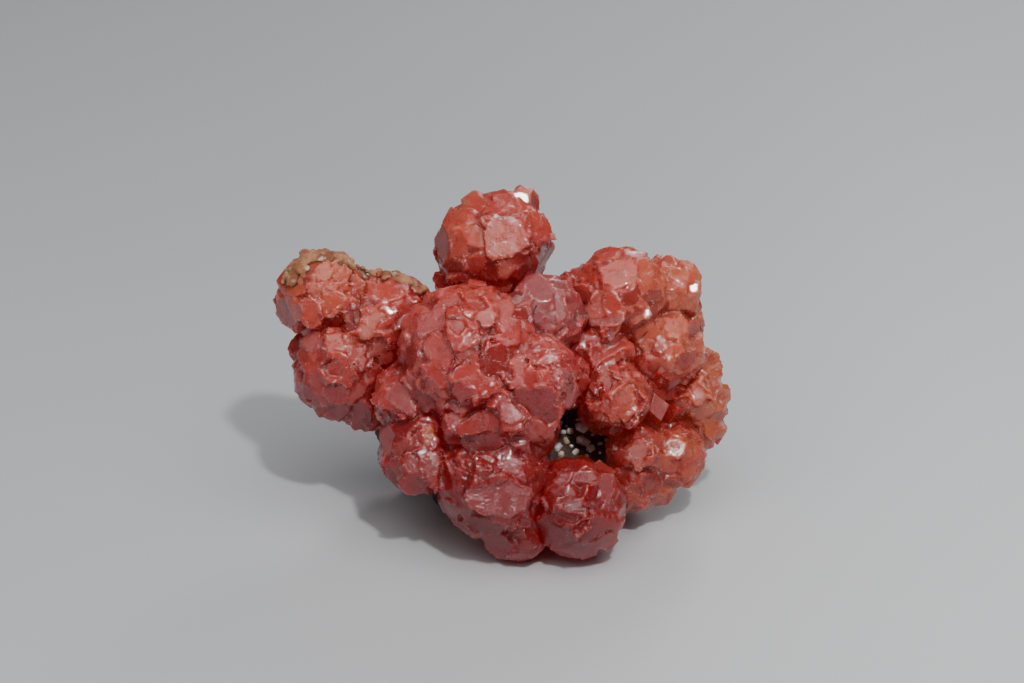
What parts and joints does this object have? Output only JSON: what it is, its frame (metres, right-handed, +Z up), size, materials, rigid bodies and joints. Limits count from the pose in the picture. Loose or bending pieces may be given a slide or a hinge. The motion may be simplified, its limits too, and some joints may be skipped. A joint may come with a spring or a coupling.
{
  "type": "rhodochrosite on matrix mineral specimen",
  "caption": "Rounded, overlapping clusters of translucent red rhombic crystals grown over a lump of dark rock, which has a flat face underneath to stand on",
  "frame": {"origin": "Centre of the flat face under the matrix, which the specimen rests on", "axes": "+Z up from the resting face, +X along the specimen's greatest width, -Y out of the side that shows the crystals in the picture"},
  "size_m": [0.0473, 0.0296, 0.0323],
  "materials": {
    "red_crystal": "gloss",
    "orange_crystal": "gloss",
    "dark_rock": "matte"
  },
  "bodies": {
    "root": {"top_ball": "red_crystal", "left_crystals": "red_crystal", "centre_crystals": "red_crystal", "lower_ball": "red_crystal", "upper_right_crystals": "red_crystal", "right_crystals": "orange_crystal", "matrix": "dark_rock"}
  },
  "joints": []
}
